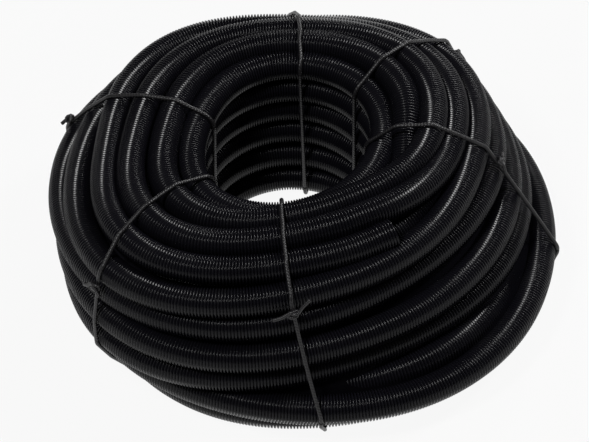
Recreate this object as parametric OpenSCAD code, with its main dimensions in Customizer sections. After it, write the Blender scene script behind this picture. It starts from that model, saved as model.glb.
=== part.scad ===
// Tied coil of corrugated conduit, 25 mm size, one length of about 25 m.
// The coil's axis is Z, the cut end lies at the front right, front is -Y.

/* [Conduit] */
// outside diameter over the ribs
conduit_d = 25; // [20:1:32]
// inside diameter
conduit_bore = 18.5; // [14:0.5:19]
// depth to which the cut end is open
open_depth = 25; // [15:1:30]

/* [Coil] */
// clear diameter of the coil's bore
coil_bore = 139; // [130:1:170]
// turns side by side in the bottom layer
base_turns = 5; // [5:1:6]
// turns stacked on the wall of the coil's bore
wall_turns = 6; // [6:1:6]
// distance of neighbouring turns, in conduit diameters
nest = 0.98; // [0.96:0.005:0.99]
// where the free end is cut, in degrees from the front towards the right
end_at = 35; // [25:1:45]
// length of the free end that has sprung straight
end_length = 28; // [20:1:35]
// how far the free end points upwards, in degrees
end_rise = 6; // [5:0.5:9]
// how far round the last turn takes to step over into the next place
step_over = 56; // [55:1:57]

/* [Ties] */
// thickness of the cord that each tie is made of
tie_d = 3.5; // [2.5:0.1:4]
// gap between a tie and the turns that it holds
tie_gap = 0.3; // [0.2:0.05:0.5]
// places of the ties, in degrees from the front towards the right
tie_at = [4, 88, 136, 177, 248, 303];
// length of each loose end at a knot
tie_end = 16; // [8:1:20]

/* [Hidden] */
$fn = 64;
conduit_r = conduit_d / 2;
tie_sides = 8;
tie_r = tie_d / 2;
step = conduit_d * nest;
lift = tie_d + tie_gap;
first_r = coil_bore / 2 + conduit_r;
first_z = lift + conduit_r;
// a turn that runs on into a crown turn is this much thinner than it
seam = 0.1;
// and reaches a millimetre into it: this angle over the turn's radius
lap = 60;
// direction of each step from turn to turn, up the outside and over the crest
outer_steps = [65, 84, 94, 107.5, 123, 140, 180, 175];

function walk(p, dirs, i = 0) =
    i == len(dirs) ? [p]
    : concat([p], walk(p + step * [cos(dirs[i]), sin(dirs[i])], dirs, i + 1));
function below(a, b) = (a + b) / 2 + step * sqrt(3) / 2 * unit([a[1] - b[1], b[0] - a[0]]);
function unit(v) = v / norm(v);
function heading(v) = atan2(v[1], v[0]);
function turned(a) = a < 0 ? a + 360 : a;

bottom = [for (k = [0:base_turns - 2]) [first_r + k * step, first_z]];
outer = walk([first_r + (base_turns - 1) * step, first_z], outer_steps);
inner = [for (k = [wall_turns - 1:-1:1]) [first_r, first_z + k * step]];
shoulder = outer[5];
seat_last = outer[6];
// far enough from it to clear the free end
seat_next = seat_last - [conduit_d + 0.4, 0];
crest = outer[8];
under = [for (p = [[crest, seat_next], [seat_next, seat_last], [seat_last, shoulder]]) below(p[1], p[0])];
open_ring = concat(bottom, [for (k = [0:5]) outer[k]], [under[2], under[1], under[0]], [crest], inner);

// the crest's last two turns stop here, and start again here
stop_at = end_at - atan(end_length / seat_last[0]);
start_at = stop_at + step_over;

// the taut line of a tie goes round these turns, anticlockwise
held = concat([for (k = [0:6]) outer[k]], [crest, inner[0], bottom[0]]);
tie_run = conduit_r + tie_gap + tie_r;

conduit();
ties();

// the wound length, with its free end
module conduit() {
    color([0.04, 0.04, 0.045])
    difference() {
        union() {
            wound();
            crown();
            step_across();
            dive();
            free_end() translate([0, 0, -2])
            cylinder(r = conduit_r - 2 * seam, h = end_length + 2);
        }
        free_end() translate([0, 0, end_length - open_depth])
        cylinder(d = conduit_bore, h = open_depth + 1);
    }
}

// the turns that go all the way round, with the ones under the crown
module wound() {
    rotate_extrude($fn = 180)
    section(open_ring, open_ring);
}

// the last two turns on the crest, which stop at the step
module crown() {
    rotate([0, 0, start_at - 90])
    rotate_extrude(angle = 360 - step_over, $fn = 180)
    section([under[0], under[2], shoulder, seat_last, seat_next, crest], [seat_last, seat_next]);
}

// a plain core with whole turns on its outline
module section(core, turns) {
    polygon(core);
    for (p = turns) translate(p) circle(conduit_r);
}

// the last turn but one leaves its place and moves outwards to the last one
module step_across() {
    a = stop_at - 90;
    b = start_at - 90;
    ra = [cos(a), sin(a)];
    rb = [cos(b), sin(b)];
    pa = seat_next[0] * ra;
    pb = seat_last[0] * rb;
    r2 = seat_last[0] / 2;
    d = pa - pb + r2 * rb;
    r1 = (d * d - r2 * r2) / (2 * (d * ra - r2));
    c1 = pa - r1 * ra;
    c2 = pb - r2 * rb;
    mid = heading(c2 - c1);
    arc(c1, r1, a - lap / r1, mid);
    arc(c2, r2, mid, b + lap / r2);
}

module arc(c, r, from, to) {
    translate([c[0], c[1], seat_last[1]])
    rotate([0, 0, from])
    rotate_extrude(angle = to - from, $fn = 180)
    translate([r, 0]) circle(conduit_r - seam);
}

// behind it the turn below comes up from between the crest and its neighbour
module dive() {
    r = seat_next[0] * 0.62;
    rotate([0, 0, start_at - 90])
    translate([seat_next[0], 0, seat_next[1]])
    rotate([0, -28, 0])
    translate([-r, 0, 0])
    rotate([0, 0, -58])
    rotate_extrude(angle = 58 + lap / r, $fn = 180)
    translate([r, 0]) circle(conduit_r - seam);
}

// places its children along the free end, from where the crown stops
module free_end() {
    rotate([0, 0, stop_at - 90])
    translate([seat_last[0], 0, seat_last[1]])
    rotate([end_rise - 90, 0, 0])
    children();
}

module ties() {
    color([0.05, 0.05, 0.05])
    for (a = tie_at) rotate([0, 0, a - 90]) rotate([90, 0, 0]) tie();
}

// one cord drawn tight round the turns, with its knot on the shoulder
module tie() {
    n = len(held);
    taut([for (i = [0:n - 1]) let (
        from = heading(held[i] - held[(i + n - 1) % n]) - 90,
        turn = turned(heading(held[(i + 1) % n] - held[i]) - 90 - from),
        m = max(1, round(turn / 15)))
        for (j = [0:m]) let (a = from + turn * j / m) [held[i] + tie_run * [cos(a), sin(a)], a]]);
    knot(held[4], held[5]);
}

// closed cord through points that each carry their outward angle
module taut(line) {
    n = len(line);
    m = tie_sides;
    polyhedron(
        points = [for (l = line) for (k = [0:m - 1]) let (
            b = 360 * (k + 0.5) / m, r = l[0] + tie_r * cos(b) * [cos(l[1]), sin(l[1])])
            [r[0], r[1], tie_r * sin(b)]],
        faces = [for (i = [0:n - 1]) for (k = [0:m - 1])
            [i * m + k, i * m + (k + 1) % m, ((i + 1) % n) * m + (k + 1) % m, ((i + 1) % n) * m + k]]);
}

// two wraps and two loose ends, midway between two turns
module knot(p, q) {
    translate((p + q) / 2)
    rotate([0, 0, heading(q - p) - 90])
    translate([tie_run, 0, 0])
    for (s = [-1, 1]) {
        translate([0, s * tie_r * 0.95, 0]) rotate([90 + s * 14, 0, 0])
        rotate_extrude($fn = 48) translate([tie_r * 1.5, 0]) circle(tie_r * 0.9, $fn = 24);
        translate([tie_r * 0.9, s * tie_r, 0]) rotate([s * 14, s * 78, 0]) {
            cylinder(r = tie_r * 0.95, h = tie_end, $fn = 24);
            translate([0, 0, tie_end]) sphere(r = tie_r * 0.95, $fn = 24);
        }
    }
}
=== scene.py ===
import math
import random

import bmesh
import bpy
from bpy.props import FloatProperty, FloatVectorProperty, IntProperty, PointerProperty
from bpy.types import Operator, Panel, PropertyGroup
from mathutils import Matrix, Vector


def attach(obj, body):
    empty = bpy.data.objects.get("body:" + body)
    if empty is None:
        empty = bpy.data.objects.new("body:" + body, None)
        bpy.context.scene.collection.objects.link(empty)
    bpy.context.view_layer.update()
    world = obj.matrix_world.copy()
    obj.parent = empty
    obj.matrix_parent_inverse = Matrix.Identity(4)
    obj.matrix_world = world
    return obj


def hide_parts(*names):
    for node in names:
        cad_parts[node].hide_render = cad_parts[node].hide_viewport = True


bl_info = {
    "name": "Corrugated Conduit Coil",
    "version": (1, 0, 0),
    "blender": (4, 5, 0),
    "location": "3D View > Sidebar > Conduit Coil",
    "description": "Builds a tied coil of corrugated conduit with its ties and a plain studio",
    "category": "Add Mesh",
}

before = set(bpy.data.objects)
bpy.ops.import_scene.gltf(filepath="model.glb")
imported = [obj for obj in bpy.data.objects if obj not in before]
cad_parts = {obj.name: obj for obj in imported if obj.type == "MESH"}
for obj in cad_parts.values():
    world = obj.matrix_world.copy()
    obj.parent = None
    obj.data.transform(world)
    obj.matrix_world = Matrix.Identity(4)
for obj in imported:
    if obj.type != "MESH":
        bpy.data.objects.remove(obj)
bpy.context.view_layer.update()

MM = 0.001
CONDUIT_D = 25.0

# Each turn wanders a little from a true circle. A turn is: mean radius, its cosine and sine
# once, twice, three and four times round, mean height, its cosine and sine once round, all in
# millimetres. The angle runs from the front towards the right.
OUTER_TURNS = {
    "turn_shoulder": (165.1, 1.1, -8.5, -1.6, -10.6, 1.2, -1.1, -4.1, 0.6, 122.6, 5.3, 5.1),
    "turn_side_5": (173.9, -3.9, -9.2, -3.9, -9.7, 1.6, -0.7, -0.7, -1.3, 101.6, 3.6, 4.4),
    "turn_side_4": (183.1, 0.5, -0.7, 0.2, -8.0, -0.6, -1.2, -1.8, -1.0, 79.0, 2.5, 4.3),
    "turn_side_3": (184.4, -0.9, 4.8, -1.1, -10.5, -0.6, -2.6, -2.3, -1.1, 56.1, 2.2, 3.7),
    "turn_side_2": (196.6, 1.8, 16.3, 2.1, 5.3, 0.8, -1.4, -2.9, 1.3, 33.5, 0.1, 0.9),
    "turn_floor": (182.9, 2.5, 13.7, -0.3, 6.0, 0.5, -1.8, -1.4, -2.8, 12.5, 0.0, 0.0),
}
RIM_TURN = (82.3, -4.3, 0.8, 2.2, -4.2, -1.2, -0.9, -0.2, 0.5, 137.9, -4.4, 1.2)
CREST_TURNS = (
    (102.3, -4.0, -1.7, 0.9, -5.7, -1.3, -2.0, -2.1, 1.2, 149.0, -0.9, 4.0),
    (126.3, -2.4, -4.4, 0.0, -6.4, -0.8, -2.7, -3.7, 1.6, 148.0, 2.2, 5.0),
    (147.3, -1.0, -7.9, 0.3, -5.7, 0.8, -3.7, -5.1, 2.2, 138.6, 4.0, 2.8),
)
BED_TURNS = (
    (114.3, -3.2, -3.1, 0.4, -6.0, -1.0, -2.4, -2.9, 1.4, 128.0, 0.6, 4.8),
    (136.8, -1.7, -6.2, 0.1, -6.0, 0.0, -3.3, -4.5, 1.9, 122.5, 3.1, 4.2),
)
BORE_TURNS = (
    (84.0, -3.5, 0.4, 2.3, -1.5, -0.2, -0.2, -0.1, 0.1, 112.7, -3.5, 0.5),
    (84.8, -4.2, 0.2, 3.4, -0.5, -0.1, 0.0, 0.1, 0.0, 88.4, -3.4, 0.2),
    (84.6, -4.2, 0.1, 3.5, -0.2, -0.1, 0.0, 0.1, 0.0, 63.6, -2.7, 0.1),
    (84.2, -3.8, 0.0, 3.3, -0.1, -0.1, 0.0, 0.1, 0.0, 37.9, -1.2, 0.0),
    (83.1, -3.4, 0.0, 2.9, 0.0, 0.0, 0.0, 0.0, 0.0, 12.5, 0.0, 0.0),
)
BASE_TURNS = (
    (108.2, -2.5, 2.7, 2.1, 0.7, 0.1, -0.5, -0.3, -0.6, 12.5, 0.0, 0.0),
    (133.3, -1.5, 5.4, 1.3, 1.5, 0.2, -0.9, -0.7, -1.2, 12.5, 0.0, 0.0),
    (158.4, -0.4, 8.1, 0.5, 2.3, 0.4, -1.4, -1.1, -1.8, 12.5, 0.0, 0.0),
)

# Where the crest's turns leave their place, and where they are in the next one, in degrees.
STEP_FROM = 24.5
STEP_TO = 86.0
FREE_END = 28.0

# Each tie: its angle on the bore's wall, on the shoulder and on the floor, in degrees.
TIES = (
    (-4.5, -0.5, 6.0),
    (80.0, 85.0, 80.0),
    (128.0, 131.0, 131.0),
    (169.0, 177.0, 177.0),
    (248.0, 248.0, 248.0),
    (303.0, 309.5, 309.0),
)
# Each knot: how far down the side it sits in millimetres, and where its loose ends point.
KNOTS = (
    (0.0, (-1.0, -0.1), (0.9, 0.6), 1.0),
    (4.0, (-0.5, -0.6), (0.6, 0.2), 0.7),
    (16.0, (-0.4, -0.9), (0.5, -0.7), 0.6),
    (22.0, (-0.6, -0.7), (0.3, -0.9), 0.6),
    (10.0, (-0.5, -0.8), (0.4, -0.7), 0.6),
    (4.0, (-0.9, -0.4), (0.6, -0.3), 0.8),
)


# ---------------------------------------------------------------- settings

class ConduitSettings(PropertyGroup):
    pitch: FloatProperty(
        name="Rib Pitch", description="Distance from rib to rib", default=2.5 * MM,
        min=1.5 * MM, max=5 * MM, unit="LENGTH")
    depth: FloatProperty(
        name="Rib Height", description="Height of a rib over the groove", default=1.9 * MM,
        min=0.5 * MM, max=3 * MM, unit="LENGTH")
    bore: FloatProperty(
        name="Bore", description="Inside diameter at the cut end", default=18.5 * MM,
        min=12 * MM, max=21 * MM, unit="LENGTH")
    open_depth: FloatProperty(
        name="Open Depth", description="How far the cut end is open", default=25 * MM,
        min=5 * MM, max=27 * MM, unit="LENGTH")
    sides: IntProperty(
        name="Sides", description="Sides of a rib on the turns that show", default=16, min=8, max=24)
    hidden_sides: IntProperty(
        name="Sides Below", description="Sides of a rib on the turns below", default=12, min=8, max=24)
    colour: FloatVectorProperty(
        name="Conduit Colour", description="Colour of the plastic", subtype="COLOR", size=3,
        default=(0.0042, 0.0040, 0.0058), min=0.0, max=1.0)


class TieSettings(PropertyGroup):
    thickness: FloatProperty(
        name="Cord Thickness", description="Thickness of the tie's cord", default=3.4 * MM,
        min=2 * MM, max=5 * MM, unit="LENGTH")
    loose: FloatProperty(
        name="Loose Ends", description="Length of each loose end at a knot", default=17 * MM,
        min=8 * MM, max=30 * MM, unit="LENGTH")
    colour: FloatVectorProperty(
        name="Cord Colour", description="Colour of the tie's cord", subtype="COLOR", size=3,
        default=(0.0075, 0.0070, 0.0080), min=0.0, max=1.0)


class StudioSettings(PropertyGroup):
    lens: FloatProperty(
        name="Lens", description="Focal length of the camera in millimetres", default=253.0,
        min=50.0, max=400.0)
    distance: FloatProperty(
        name="Distance", description="From the camera to the coil", default=3.4, min=1.0, max=6.0,
        unit="LENGTH")
    elevation: FloatProperty(
        name="Elevation", description="The camera's height over the horizon",
        default=math.radians(45.5), min=0.0, max=math.radians(90), unit="ROTATION")
    floor_colour: FloatVectorProperty(
        name="Floor Colour", description="Colour of the plain floor", subtype="COLOR", size=3,
        default=(0.42, 0.42, 0.42), min=0.0, max=1.0)


# ---------------------------------------------------------------- materials

class Socket:
    """A shader value that can be used in plain arithmetic."""

    def __init__(self, graph, link):
        self.graph = graph
        self.link = link

    def _math(self, operation, a, b):
        return self.graph.node("ShaderNodeMath", {"operation": operation}, {0: a, 1: b})[0]

    def __add__(self, other):
        return self._math("ADD", self, other)

    def __radd__(self, other):
        return self._math("ADD", other, self)

    def __sub__(self, other):
        return self._math("SUBTRACT", self, other)

    def __rsub__(self, other):
        return self._math("SUBTRACT", other, self)

    def __mul__(self, other):
        return self._math("MULTIPLY", self, other)

    def __rmul__(self, other):
        return self._math("MULTIPLY", other, self)

    def __truediv__(self, other):
        return self._math("DIVIDE", self, other)

    def __rtruediv__(self, other):
        return self._math("DIVIDE", other, self)

    def __pow__(self, other):
        return self._math("POWER", self, other)

    def __lt__(self, other):
        return self._math("LESS_THAN", self, other)

    def __gt__(self, other):
        return self._math("GREATER_THAN", self, other)


class Graph:
    """A material's node tree."""

    def __init__(self, material):
        material.use_nodes = True
        self.tree = material.node_tree
        self.tree.nodes.clear()

    def node(self, kind, settings=None, values=None):
        made = self.tree.nodes.new(kind)
        for key, value in (settings or {}).items():
            if key == "stops":
                ramp = made.color_ramp
                for i, (place, colour) in enumerate(value):
                    stop = ramp.elements[i] if i < len(ramp.elements) else ramp.elements.new(place)
                    stop.position = place
                    stop.color = colour
            else:
                setattr(made, key, value)
        for key, value in (values or {}).items():
            socket = made.inputs[key]
            if isinstance(value, Socket):
                self.tree.links.new(value.link, socket)
            else:
                socket.default_value = value
        return Outputs(self, made)

    def mix(self, factor, a, b):
        made = self.node("ShaderNodeMix", {"data_type": "RGBA"}, {0: factor, 6: a, 7: b})
        return Socket(self, made.made.outputs[2])

    def finish(self, shader):
        self.node("ShaderNodeOutputMaterial", {}, {"Surface": shader})


class Outputs:
    """A node's outputs, by number or name."""

    def __init__(self, graph, made):
        self.graph = graph
        self.made = made

    def __getitem__(self, key):
        return Socket(self.graph, self.made.outputs[key])


def rgba(colour, level=1.0):
    return (colour[0] * level, colour[1] * level, colour[2] * level, 1.0)


def noise(graph, place, scale, detail=3.0, roughness=0.5):
    return graph.node("ShaderNodeTexNoise", {}, {
        "Vector": place, "Scale": scale, "Detail": detail, "Roughness": roughness})["Fac"]


def conduit_plastic(settings):
    """Black moulded plastic with a parting line along the conduit and a little handling wear."""
    material = bpy.data.materials.new("conduit_plastic")
    graph = Graph(material)
    place = graph.node("ShaderNodeTexCoord")["Object"]
    along = graph.node("ShaderNodeUVMap", {"uv_map": "length"})["UV"]
    apart = graph.node("ShaderNodeSeparateXYZ", {}, {0: along})
    around, rib = apart[0], apart[1]

    broad = noise(graph, place, 14.0)
    fine = noise(graph, place, 420.0, 2.0)
    phase = graph.node("ShaderNodeMath", {"operation": "FRACT"}, {0: rib + 0.4})[0]
    from_crest = graph.node("ShaderNodeMath", {"operation": "ABSOLUTE"}, {0: phase - 0.5})[0] * 2.0
    groove = from_crest ** 3.0
    dust = graph.node("ShaderNodeMath", {"operation": "MULTIPLY", "use_clamp": True},
                      {0: (noise(graph, place, 34.0, 5.0) - 0.52) * 5.0, 1: 1.0})[0]

    colour = graph.mix(broad, rgba(settings.colour, 0.75), rgba(settings.colour, 1.3))
    colour = graph.mix(dust * groove * 0.5, colour, rgba((0.018, 0.018, 0.018)))
    rough = 0.13 + broad * 0.07 + groove * 0.15 + dust * 0.06

    seam_at = graph.node("ShaderNodeMath", {"operation": "ABSOLUTE"}, {0: around - 0.5})[0]
    seam = graph.node("ShaderNodeMath", {"operation": "SUBTRACT", "use_clamp": True},
                      {0: 1.0, 1: seam_at * 90.0})[0]
    height = seam * 0.6 + fine * 0.25
    normal = graph.node("ShaderNodeBump", {}, {
        "Strength": 0.35, "Distance": 0.0004, "Height": height})["Normal"]
    shader = graph.node("ShaderNodeBsdfPrincipled", {}, {
        "Base Color": colour, "Roughness": rough, "Normal": normal, "IOR": 1.5,
        "Specular IOR Level": 0.16})["BSDF"]
    graph.finish(shader)
    return material


def cord_plastic(settings):
    """Black twisted cord, a little duller than the conduit."""
    material = bpy.data.materials.new("cord_plastic")
    graph = Graph(material)
    place = graph.node("ShaderNodeTexCoord")["Object"]
    along = graph.node("ShaderNodeUVMap", {"uv_map": "length"})["UV"]
    apart = graph.node("ShaderNodeSeparateXYZ", {}, {0: along})
    twist = graph.node("ShaderNodeMath", {"operation": "SINE"},
                       {0: (apart[0] * 3.0 + apart[1] * 0.6) * (2 * math.pi)})[0]
    broad = noise(graph, place, 60.0)
    fine = noise(graph, place, 900.0, 3.0)
    colour = graph.mix(broad, rgba(settings.colour, 0.8), rgba(settings.colour, 1.5))
    rough = 0.34 + broad * 0.16
    height = twist * 0.5 + fine * 0.5
    normal = graph.node("ShaderNodeBump", {}, {
        "Strength": 0.35, "Distance": 0.0004, "Height": height})["Normal"]
    shader = graph.node("ShaderNodeBsdfPrincipled", {}, {
        "Base Color": colour, "Roughness": rough, "Normal": normal, "IOR": 1.5})["BSDF"]
    graph.finish(shader)
    return material


def floor_paint(settings):
    material = bpy.data.materials.new("floor_paint")
    graph = Graph(material)
    place = graph.node("ShaderNodeTexCoord")["Object"]
    soft = noise(graph, place, 2.0)
    colour = graph.mix(soft, rgba(settings.floor_colour, 0.995), rgba(settings.floor_colour, 1.0))
    paint = graph.node("ShaderNodeBsdfDiffuse", {}, {"Color": colour})["BSDF"]
    white = graph.node("ShaderNodeEmission", {}, {"Color": rgba((1, 1, 1)), "Strength": 1.0})["Emission"]
    ray = graph.node("ShaderNodeLightPath")
    seen = ray["Is Camera Ray"] + ray["Is Glossy Ray"] + ray["Is Transmission Ray"]
    shader = graph.node("ShaderNodeMixShader", {}, {0: seen * 0.92, 1: paint, 2: white})["Shader"]
    graph.finish(shader)
    return material


def shared(maker, settings):
    return bpy.data.materials.get(maker.__name__) or maker(settings)


# ---------------------------------------------------------------- paths

def turn_at(turn, degrees):
    """Radius and height of a turn at an angle, in millimetres."""
    a = math.radians(degrees)
    r = turn[0] + sum(turn[2 * k - 1] * math.cos(k * a) + turn[2 * k] * math.sin(k * a) for k in (1, 2, 3, 4))
    return r, turn[9] + turn[10] * math.cos(a) + turn[11] * math.sin(a)


def place(r, z, degrees):
    a = math.radians(degrees)
    return Vector((r * math.sin(a), -r * math.cos(a), z)) * MM


def ease(value, start, end):
    t = min(1.0, max(0.0, (value - start) / (end - start)))
    return t * t * (3 - 2 * t)


def waver(seed, size):
    """A slow wander of up to about size millimetres that closes on itself."""
    dice = random.Random(seed)
    waves = [(k, dice.uniform(-1, 1) / math.sqrt(k - 1), dice.uniform(0, 2 * math.pi)) for k in (3, 4, 5, 7)]

    def at(degrees):
        a = math.radians(degrees)
        return size * 0.5 * sum(w * math.cos(k * a + p) for k, w, p in waves)
    return at


def ring_path(turn, seed, points=480):
    out, up = waver(seed, 0.7), waver(seed + 100, 0.5 if turn[10] else 0.0)
    path = []
    for i in range(points):
        a = 360.0 * i / points
        r, z = turn_at(turn, a)
        path.append(place(r + out(a), z + up(a), a))
    return path


def crest_path():
    """The last turns: up from the bed, three times round the crest, and out at the free end."""
    places = (BED_TURNS[0],) + CREST_TURNS
    out, up = waver(31, 0.7), waver(32, 0.5)
    path = []
    a = 100.0 - 360.0
    while a < 1080.0 + STEP_FROM:
        lap = a + 0.0
        stage_r = stage_z = 0.0
        if lap > 0:
            stage_r, stage_z = ease(lap, 52, 92), ease(lap, 58, 110)
        for k in (1, 2):
            step = ease(lap - 360.0 * k, STEP_FROM, STEP_TO)
            stage_r, stage_z = stage_r + step, stage_z + step
        r = blend_turns(places, stage_r, a, 0)
        z = blend_turns(places, stage_z, a, 1)
        path.append(place(r + out(a), z + up(a), a))
        a += 0.75
    ahead = (path[-1] - path[-3]).normalized()
    rise = math.radians(4.0)
    for i in range(1, 29):
        s = FREE_END * MM * i / 28
        lift = s * math.tan(rise) * min(1.0, i / 14)
        path.append(path[-i] + ahead * s + Vector((0, 0, lift)) if i == 1 else start + ahead * s + Vector((0, 0, lift)))
        if i == 1:
            start = path[-2]
    return path


def blend_turns(places, stage, degrees, which):
    low = min(int(stage), len(places) - 2)
    part = stage - low
    a = turn_at(places[low], degrees)[which]
    b = turn_at(places[low + 1], degrees)[which]
    return a + (b - a) * part


# ---------------------------------------------------------------- tubes

def tube_cell(sides, profile, uv_step):
    """One length of a round tube along X, through (x, radius) pairs, open at both ends."""
    bm = bmesh.new()
    uv = bm.loops.layers.uv.new("length")
    turn = Matrix.Rotation(math.radians(90), 4, "Y")
    x, r = profile[0]
    bmesh.ops.create_circle(bm, cap_ends=False, segments=sides, radius=r, matrix=turn)
    bmesh.ops.translate(bm, verts=bm.verts[:], vec=(x, 0, 0))
    edges = bm.edges[:]
    for nx, nr in profile[1:]:
        made = bmesh.ops.extrude_edge_only(bm, edges=edges)["geom"]
        verts = [g for g in made if isinstance(g, bmesh.types.BMVert)]
        edges = [g for g in made if isinstance(g, bmesh.types.BMEdge) and all(v in verts for v in g.verts)]
        bmesh.ops.scale(bm, verts=verts, vec=(1, nr / r, nr / r))
        bmesh.ops.translate(bm, verts=verts, vec=(nx - x, 0, 0))
        x, r = nx, nr
    length = profile[-1][0] - profile[0][0]
    for face in bm.faces:
        middle = face.calc_center_median()
        base = math.atan2(middle.z, middle.y) / (2 * math.pi)
        for loop in face.loops:
            u = math.atan2(loop.vert.co.z, loop.vert.co.y) / (2 * math.pi)
            u += round(base - u)
            loop[uv].uv = (u % 1.0 if abs(base) < 0.49 else u, loop.vert.co.x / length * uv_step)
    mesh = bpy.data.meshes.new("cell")
    bm.to_mesh(mesh)
    bm.free()
    return mesh


def path_length(path, closed):
    ends = path[1:] + (path[:1] if closed else [])
    return sum((b - a).length for a, b in zip(path, ends))


def run_along(name, path, closed, pitch, make_cell):
    """A tube made of one cell repeated along a path; the pitch is eased to end on a whole rib."""
    length = path_length(path, closed)
    count = max(3, round(length / pitch))
    step = length / count
    curve = bpy.data.curves.new(name + "_line", "CURVE")
    curve.dimensions = "3D"
    curve.twist_mode = "Z_UP"
    spline = curve.splines.new("POLY")
    spline.points.add(len(path) - 1)
    spline.points.foreach_set("co", [c for p in path for c in (p.x, p.y, p.z, 1.0)])
    spline.use_cyclic_u = closed
    guide = bpy.data.objects.new(name + "_line", curve)
    bpy.context.collection.objects.link(guide)

    straight = bpy.data.objects.new(name + "_straight", make_cell(step))
    bpy.context.collection.objects.link(straight)
    array = straight.modifiers.new("ribs", "ARRAY")
    array.fit_type = "FIXED_COUNT"
    array.count = count
    array.use_relative_offset = False
    array.use_constant_offset = True
    array.constant_offset_displace = (step, 0, 0)
    array.use_merge_vertices = True
    array.merge_threshold = 0.00001
    array.offset_v = 1.0
    bend = straight.modifiers.new("route", "CURVE")
    bend.object = guide
    bend.deform_axis = "POS_X"
    bpy.context.view_layer.update()
    graph = bpy.context.evaluated_depsgraph_get()
    mesh = bpy.data.meshes.new_from_object(straight.evaluated_get(graph))
    mesh.name = name
    cell = straight.data
    bpy.data.objects.remove(straight)
    bpy.data.meshes.remove(cell)
    bpy.data.objects.remove(guide)
    bpy.data.curves.remove(curve)
    return mesh


def end_loops(bm):
    """The open ends of a tube, each as its list of edges."""
    left = {e for e in bm.edges if e.is_boundary}
    loops = []
    while left:
        found = [left.pop()]
        grow = [found[0]]
        while grow:
            edge = grow.pop()
            for vert in edge.verts:
                for near in vert.link_edges:
                    if near in left:
                        left.remove(near)
                        found.append(near)
                        grow.append(near)
        loops.append(found)
    return loops


def loop_middle(loop):
    verts = {v for e in loop for v in e.verts}
    return sum((v.co for v in verts), Vector()) / len(verts)


def add_piece(name, mesh, material):
    mesh.materials.clear()
    mesh.materials.append(material)
    piece = bpy.data.objects.new(name, mesh)
    bpy.context.collection.objects.link(piece)
    for face in mesh.polygons:
        face.use_smooth = True
    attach(piece, "root")
    return piece


def rib_cell(settings, sides, step):
    r = CONDUIT_D / 2 * MM
    low = r - settings.depth
    profile = ((0.0, low), (0.20 * step, low), (0.40 * step, r), (0.80 * step, r), (step, low))
    return tube_cell(sides, profile, 1.0)


def nested_path(upper, lower, points=480):
    """A turn of the layer behind, in the hollow between two turns."""
    path = []
    for i in range(points):
        a = 360.0 * i / points
        top, low = Vector(turn_at(upper, a)), Vector(turn_at(lower, a))
        apart = top - low
        behind = Vector((-apart.y, apart.x)).normalized()
        reach = math.sqrt(max(CONDUIT_D ** 2 * 0.96 - (apart.length / 2) ** 2, 9.0))
        spot = (top + low) / 2 + behind * reach
        path.append(place(spot.x, spot.y, a))
    return path


def conduit_turn(name, turn, seed, settings, sides):
    return conduit_tube(name, ring_path(turn, seed), settings, sides)


def conduit_tube(name, path, settings, sides):
    mesh = run_along(name, path, True, settings.pitch,
                     lambda step: rib_cell(settings, sides, step))
    bm = bmesh.new()
    bm.from_mesh(mesh)
    ends = [v for v in bm.verts if v.is_boundary]
    bmesh.ops.remove_doubles(bm, verts=ends, dist=0.0005)
    bmesh.ops.recalc_face_normals(bm, faces=bm.faces[:])
    bm.to_mesh(mesh)
    bm.free()
    return add_piece(name, mesh, shared(conduit_plastic, settings))


def settings_of(context):
    return context.scene.coil_conduit, context.scene.coil_ties, context.scene.coil_studio


# ---------------------------------------------------------------- operators

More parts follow.
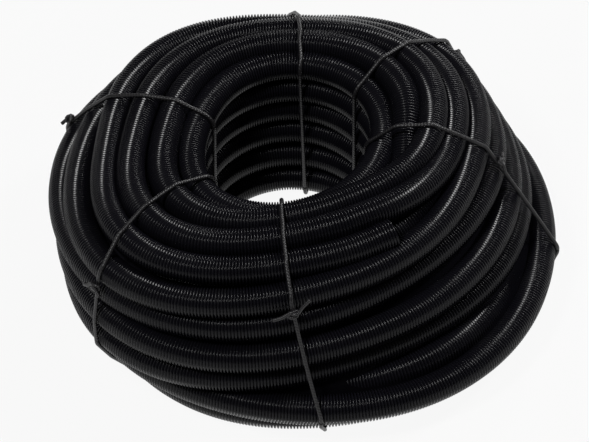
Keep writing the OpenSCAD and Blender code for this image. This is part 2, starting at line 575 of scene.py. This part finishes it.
class COIL_OT_core(Operator):
    """Build the plain core that stands for the turns inside the bundle"""
    bl_idname = "coil.core"
    bl_label = "Hidden Turns"

    def execute(self, context):
        conduit, _, _ = settings_of(context)
        bm = bmesh.new()
        outline = [turn_at(t, 0) for t in (
            BORE_TURNS[4], BASE_TURNS[0], BASE_TURNS[1], BASE_TURNS[2],
            OUTER_TURNS["turn_floor"], OUTER_TURNS["turn_side_2"], OUTER_TURNS["turn_side_3"],
            OUTER_TURNS["turn_side_4"], OUTER_TURNS["turn_side_5"], OUTER_TURNS["turn_shoulder"],
            BED_TURNS[1], BED_TURNS[0], RIM_TURN,
            BORE_TURNS[0], BORE_TURNS[1], BORE_TURNS[2], BORE_TURNS[3])]
        middle = Vector((sum(p[0] for p in outline), sum(p[1] for p in outline))) / len(outline)
        verts = []
        for r, z in outline:
            inward = (middle - Vector((r, z))).normalized() * 6.0
            verts.append(bm.verts.new(((r + inward.x) * MM, 0, (z + inward.y) * MM)))
        edges = [bm.edges.new((verts[i], verts[(i + 1) % len(verts)])) for i in range(len(verts))]
        bmesh.ops.spin(bm, geom=verts + edges, cent=(0, 0, 0), axis=(0, 0, 1), dvec=(0, 0, 0),
                       angle=2 * math.pi, steps=96, use_merge=True, use_duplicate=False)
        turns = (
            BORE_TURNS[4], BASE_TURNS[0], BASE_TURNS[1], BASE_TURNS[2],
            OUTER_TURNS["turn_floor"], OUTER_TURNS["turn_side_2"], OUTER_TURNS["turn_side_3"],
            OUTER_TURNS["turn_side_4"], OUTER_TURNS["turn_side_5"], OUTER_TURNS["turn_shoulder"],
            BED_TURNS[1], BED_TURNS[0], RIM_TURN,
            BORE_TURNS[0], BORE_TURNS[1], BORE_TURNS[2], BORE_TURNS[3])
        for vert in bm.verts:
            angle = math.degrees(math.atan2(vert.co.x, -vert.co.y)) % 360
            spot = Vector((math.hypot(vert.co.x, vert.co.y), vert.co.z)) / MM
            k = min(range(len(outline)), key=lambda i: (Vector(outline[i]) - spot).length)
            r, z = turn_at(turns[k], angle)
            spot += Vector((r, z)) - Vector(outline[k])
            vert.co = place(spot.x, spot.y, angle)
        bmesh.ops.remove_doubles(bm, verts=bm.verts[:], dist=0.00001)
        bmesh.ops.recalc_face_normals(bm, faces=bm.faces[:])
        mesh = bpy.data.meshes.new("hidden_turns")
        bm.to_mesh(mesh)
        bm.free()
        add_piece("hidden_turns", mesh, shared(conduit_plastic, conduit))
        return {"FINISHED"}


class COIL_OT_turns(Operator):
    """Build the turns that go all the way round"""
    bl_idname = "coil.turns"
    bl_label = "Turns"

    def execute(self, context):
        conduit, _, _ = settings_of(context)
        seed = 0
        for name, turn in OUTER_TURNS.items():
            seed += 1
            piece = conduit_turn(name, turn, seed, conduit, conduit.sides)
            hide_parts("conduit")
        conduit_turn("turn_rim", RIM_TURN, 11, conduit, conduit.sides)
        for k, turn in enumerate(BORE_TURNS):
            conduit_turn("turn_bore_%d" % (k + 1), turn, 12 + k, conduit, conduit.hidden_sides)
        for k, turn in enumerate(BASE_TURNS):
            conduit_turn("turn_base_%d" % (k + 1), turn, 20 + k, conduit, conduit.hidden_sides)
        conduit_turn("turn_bed", BED_TURNS[1], 25, conduit, conduit.hidden_sides)
        between = nested_path(OUTER_TURNS["turn_side_3"], OUTER_TURNS["turn_side_2"])
        conduit_tube("turn_between", between, conduit, conduit.hidden_sides)
        return {"FINISHED"}


class COIL_OT_crest(Operator):
    """Build the last turns on the crest, which step over each other and end in the cut end"""
    bl_idname = "coil.crest"
    bl_label = "Crest and Free End"

    def execute(self, context):
        conduit, _, _ = settings_of(context)
        path = crest_path()
        mesh = run_along("crest_run", path, False, conduit.pitch,
                         lambda step: rib_cell(conduit, conduit.sides, step))
        bm = bmesh.new()
        bm.from_mesh(mesh)
        tip = path[-1]
        ahead = (path[-1] - path[-6]).normalized()
        loops = sorted(end_loops(bm), key=lambda loop: (loop_middle(loop) - tip).length)
        bmesh.ops.contextual_create(bm, geom=loops[1])
        edges = loops[0]
        middle = loop_middle(edges)
        low = CONDUIT_D / 2 * MM - conduit.depth
        inner = conduit.bore / 2
        rows = [(0.0, inner)]
        ribs = int(conduit.open_depth / conduit.pitch)
        for i in range(1, ribs + 1):
            s = -conduit.open_depth * i / ribs
            half = s + conduit.open_depth / ribs / 2
            rows += [(half, inner + 0.45 * conduit.depth), (s, inner)]
        r, s = low, 0.0
        for ns, nr in rows:
            made = bmesh.ops.extrude_edge_only(bm, edges=edges)["geom"]
            verts = [g for g in made if isinstance(g, bmesh.types.BMVert)]
            edges = [g for g in made if isinstance(g, bmesh.types.BMEdge) and all(v in verts for v in g.verts)]
            bmesh.ops.translate(bm, verts=verts, vec=-middle - ahead * s)
            bmesh.ops.scale(bm, verts=verts, vec=(nr / r,) * 3)
            bmesh.ops.translate(bm, verts=verts, vec=middle + ahead * ns)
            r, s = nr, ns
        bmesh.ops.contextual_create(bm, geom=edges)
        bmesh.ops.recalc_face_normals(bm, faces=bm.faces[:])
        bm.to_mesh(mesh)
        bm.free()
        add_piece("crest_run", mesh, shared(conduit_plastic, conduit))
        return {"FINISHED"}


def hull(points):
    """The convex outline of flat points, anticlockwise."""
    points = sorted(points)

    def half(run):
        kept = []
        for p in run:
            while len(kept) > 1 and ((kept[-1][0] - kept[-2][0]) * (p[1] - kept[-2][1])
                                     - (kept[-1][1] - kept[-2][1]) * (p[0] - kept[-2][0])) <= 0:
                kept.pop()
            kept.append(p)
        return kept[:-1]
    return half(points) + half(points[::-1])


def crest_turn_at(k, degrees):
    """A crest turn's radius and height, with its step over to the next place."""
    a = degrees % 360
    step = ease(a, STEP_FROM, STEP_TO)
    if k == 0:
        return turn_at(CREST_TURNS[0], a) if a > STEP_TO or a < STEP_FROM else turn_at(CREST_TURNS[0], a)
    r = (1 - step) * turn_at(CREST_TURNS[k], a)[0] + step * turn_at(CREST_TURNS[min(k + 1, 2)], a)[0]
    return (r, turn_at(CREST_TURNS[k], a)[1]) if a < STEP_TO else turn_at(CREST_TURNS[k], a)


def tie_path(angles, radius, seed):
    """The taut line round the turns at a tie: out over the crest, down, and back under."""
    inside, knot, floor = angles
    held = [(turn_at(BORE_TURNS[4], inside), inside), (turn_at(BASE_TURNS[1], (inside + floor) / 2), (inside + floor) / 2),
            (turn_at(OUTER_TURNS["turn_floor"], floor), floor)]
    names = ("turn_side_2", "turn_side_3", "turn_side_4", "turn_side_5", "turn_shoulder")
    for i, name in enumerate(names):
        a = floor + (knot - floor) * (i + 1) / len(names)
        held.append((turn_at(OUTER_TURNS[name], a), a))
    for i, turn in enumerate((CREST_TURNS[2], CREST_TURNS[1], CREST_TURNS[0], RIM_TURN)):
        a = knot + (inside - knot) * (i + 1) / 4
        held.append((turn_at(turn, a), a))
    for turn in BORE_TURNS[:4]:
        held.append((turn_at(turn, inside), inside))
    reach = CONDUIT_D / 2 + radius / MM * 0.9
    spots = {}
    for (r, z), a in held:
        for k in range(72):
            t = 2 * math.pi * k / 72
            spots[(r + reach * math.cos(t), z + reach * math.sin(t))] = (a, (r, z), t)
    outline = hull(list(spots))
    path = []
    for i, p in enumerate(outline):
        q = outline[(i + 1) % len(outline)]
        gap = math.dist(p, q)
        steps = max(1, round(gap / 1.0))
        for j in range(steps):
            t = j / steps
            a = spots[p][0] + (spots[q][0] - spots[p][0]) * t
            z = max(p[1] + (q[1] - p[1]) * t, radius / MM + 0.05)
            path.append(place(p[0] + (q[0] - p[0]) * t, z, a))
    return path


def cord_cell(radius, step):
    return tube_cell(10, ((0.0, radius), (step, radius)), 1.0)


def knot_point(path, angles, below):
    """Where a tie's knot sits, the outward direction there and the line's direction."""
    a = angles[1]
    high = turn_at(OUTER_TURNS["turn_shoulder"], a)
    low = turn_at(OUTER_TURNS["turn_side_5"], a)
    target = place((high[0] + low[0]) / 2 + 13, (high[1] + low[1]) / 2 + 8 - below, a)
    i = min(range(len(path)), key=lambda k: (path[k] - target).length)
    point = path[i]
    line = (path[(i + 3) % len(path)] - path[i - 3]).normalized()
    side = Vector((math.cos(math.radians(a)), math.sin(math.radians(a)), 0))
    side = (side - line * side.dot(line)).normalized()
    out = side.cross(line).normalized()
    if out.dot(Vector((point.x, point.y, 0.02))) < 0:
        out = -out
    return point, out, line, side


class COIL_OT_ties(Operator):
    """Build the cord ties with their knots and loose ends"""
    bl_idname = "coil.ties"
    bl_label = "Ties"

    def execute(self, context):
        _, ties, _ = settings_of(context)
        radius = ties.thickness / 2
        material = shared(cord_plastic, ties)
        for k, angles in enumerate(TIES):
            path = tie_path(angles, radius, k)
            name = "tie_%d" % (k + 1)
            mesh = run_along(name, path, True, 1.6 * MM, lambda step: cord_cell(radius, step))
            bm = bmesh.new()
            bm.from_mesh(mesh)
            bmesh.ops.remove_doubles(bm, verts=[v for v in bm.verts if v.is_boundary], dist=0.0004)
            bmesh.ops.recalc_face_normals(bm, faces=bm.faces[:])
            bm.to_mesh(mesh)
            bm.free()
            piece = add_piece(name, mesh, material)
            if k == 0:
                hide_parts("ties")
            point, out, line, side = knot_point(path, angles, KNOTS[k][0])
            if line.z < 0:
                line = -line
            self.knot("knot_%d" % (k + 1), point, out, line, side, ties, material, k)
        return {"FINISHED"}

    def knot(self, name, point, out, line, side, ties, material, seed):
        """A half hitch of the same cord, with two loose ends."""
        radius = ties.thickness / 2
        base = point + out * radius * 1.1
        path = []
        _, first, last, long = KNOTS[seed]
        frame_at = lambda x, y, z: base + side * x + line * y + out * z
        reach = ties.loose * long
        path.append(frame_at(first[0] * reach, first[1] * reach, radius * 1.0))
        path.append(frame_at(first[0] * reach * 0.6, first[1] * reach * 0.5, radius * 1.3))
        path.append(frame_at(first[0] * radius * 2.6, 0.6 * radius, radius * 1.1))
        path.append(frame_at(0, 1.3 * radius, radius * 1.3))
        path.append(frame_at(radius * 2.1, 0.8 * radius, -0.2 * radius))
        path.append(frame_at(radius * 1.2, -1.4 * radius, radius * 0.6))
        path.append(frame_at(-radius * 1.9, -1.2 * radius, radius * 1.0))
        path.append(frame_at(-radius * 1.4, 0.9 * radius, radius * 0.2))
        path.append(frame_at(radius * 0.4, 0.5 * radius, radius * 2.2))
        path.append(frame_at(last[0] * radius * 2.8, last[1] * radius, radius * 1.6))
        path.append(frame_at(last[0] * reach * 0.55, last[1] * reach * 0.5, radius * 1.6))
        path.append(frame_at(last[0] * reach, last[1] * reach, radius * 1.8))
        smooth = []
        for i in range(len(path) - 1):
            p0, p1 = path[max(0, i - 1)], path[i]
            p2, p3 = path[i + 1], path[min(len(path) - 1, i + 2)]
            for j in range(8):
                t = j / 8
                smooth.append(0.5 * ((2 * p1) + (p2 - p0) * t + (2 * p0 - 5 * p1 + 4 * p2 - p3) * t * t
                                     + (3 * p1 - p0 - 3 * p2 + p3) * t ** 3))
        smooth.append(path[-1])
        mesh = run_along(name, smooth, False, 1.0 * MM, lambda step: cord_cell(radius * 0.92, step))
        bm = bmesh.new()
        bm.from_mesh(mesh)
        for loop in end_loops(bm):
            bmesh.ops.contextual_create(bm, geom=loop)
        bmesh.ops.recalc_face_normals(bm, faces=bm.faces[:])
        bm.to_mesh(mesh)
        bm.free()
        add_piece(name, mesh, material)


class COIL_OT_studio(Operator):
    """Set the floor, the lights and the camera"""
    bl_idname = "coil.studio"
    bl_label = "Studio"

    def execute(self, context):
        _, _, studio = settings_of(context)
        bm = bmesh.new()
        bmesh.ops.create_grid(bm, x_segments=2, y_segments=2, size=12.0)
        mesh = bpy.data.meshes.new("floor")
        bm.to_mesh(mesh)
        bm.free()
        mesh.materials.append(shared(floor_paint, studio))
        floor = bpy.data.objects.new("floor", mesh)
        context.collection.objects.link(floor)

        self.softbox("key_light", (-1.0, -1.0, 2.6), (0.0, 0.0, 0.05), (0.55, 0.55), 42.0)
        self.softbox("side_light", (1.75, 0.45, 2.05), (0.0, 0.0, 0.08), (0.55, 0.55), 38.0)
        self.softbox("back_light", (1.0, 2.4, 1.5), (0.0, 0.0, 0.05), (0.6, 0.5), 24.0)

        world = bpy.data.worlds.new("studio")
        context.scene.world = world
        world.use_nodes = True
        world.node_tree.nodes["Background"].inputs["Color"].default_value = (1, 1, 1, 1)
        world.node_tree.nodes["Background"].inputs["Strength"].default_value = 0.07

        camera = bpy.data.cameras.new("camera")
        camera.lens = studio.lens
        camera.sensor_width = 36.0
        camera.dof.use_dof = False
        camera.clip_end = 50.0
        eye = bpy.data.objects.new("camera", camera)
        context.collection.objects.link(eye)
        aim = Vector((4.2, -41.7, 90.0)) * MM
        tilt = studio.elevation
        eye.location = aim + Vector((0, -math.cos(tilt), math.sin(tilt))) * studio.distance
        look = (aim - eye.location).to_track_quat("-Z", "Y")
        eye.rotation_euler = (look.to_matrix() @ Matrix.Rotation(math.radians(-2.8), 3, "Z")).to_euler()
        context.scene.camera = eye
        context.scene.view_settings.view_transform = "Standard"
        return {"FINISHED"}

    def softbox(self, name, spot, target, size, power):
        light = bpy.data.lights.new(name, "AREA")
        light.shape = "RECTANGLE"
        light.size, light.size_y = size
        light.energy = power
        lamp = bpy.data.objects.new(name, light)
        bpy.context.collection.objects.link(lamp)
        lamp.location = spot
        lamp.rotation_euler = (Vector(target) - Vector(spot)).to_track_quat("-Z", "Y").to_euler()


class COIL_PT_panel(Panel):
    """The coil's settings and builders"""
    bl_label = "Conduit Coil"
    bl_idname = "COIL_PT_panel"
    bl_space_type = "VIEW_3D"
    bl_region_type = "UI"
    bl_category = "Conduit Coil"

    def draw(self, context):
        layout = self.layout
        conduit, ties, studio = settings_of(context)
        for group in (conduit, ties, studio):
            box = layout.box()
            for name in group.__annotations__:
                box.prop(group, name)
        for operator in (COIL_OT_core, COIL_OT_turns, COIL_OT_crest, COIL_OT_ties, COIL_OT_studio):
            layout.operator(operator.bl_idname)


CLASSES = (ConduitSettings, TieSettings, StudioSettings, COIL_OT_core, COIL_OT_turns, COIL_OT_crest,
           COIL_OT_ties, COIL_OT_studio, COIL_PT_panel)


def register():
    for cls in CLASSES:
        bpy.utils.register_class(cls)
    bpy.types.Scene.coil_conduit = PointerProperty(type=ConduitSettings)
    bpy.types.Scene.coil_ties = PointerProperty(type=TieSettings)
    bpy.types.Scene.coil_studio = PointerProperty(type=StudioSettings)


def unregister():
    del bpy.types.Scene.coil_studio
    del bpy.types.Scene.coil_ties
    del bpy.types.Scene.coil_conduit
    for cls in reversed(CLASSES):
        bpy.utils.unregister_class(cls)


def main():
    register()
    bpy.ops.coil.core()
    bpy.ops.coil.turns()
    bpy.ops.coil.crest()
    bpy.ops.coil.ties()
    bpy.ops.coil.studio()


if __name__ == "__main__":
    main()
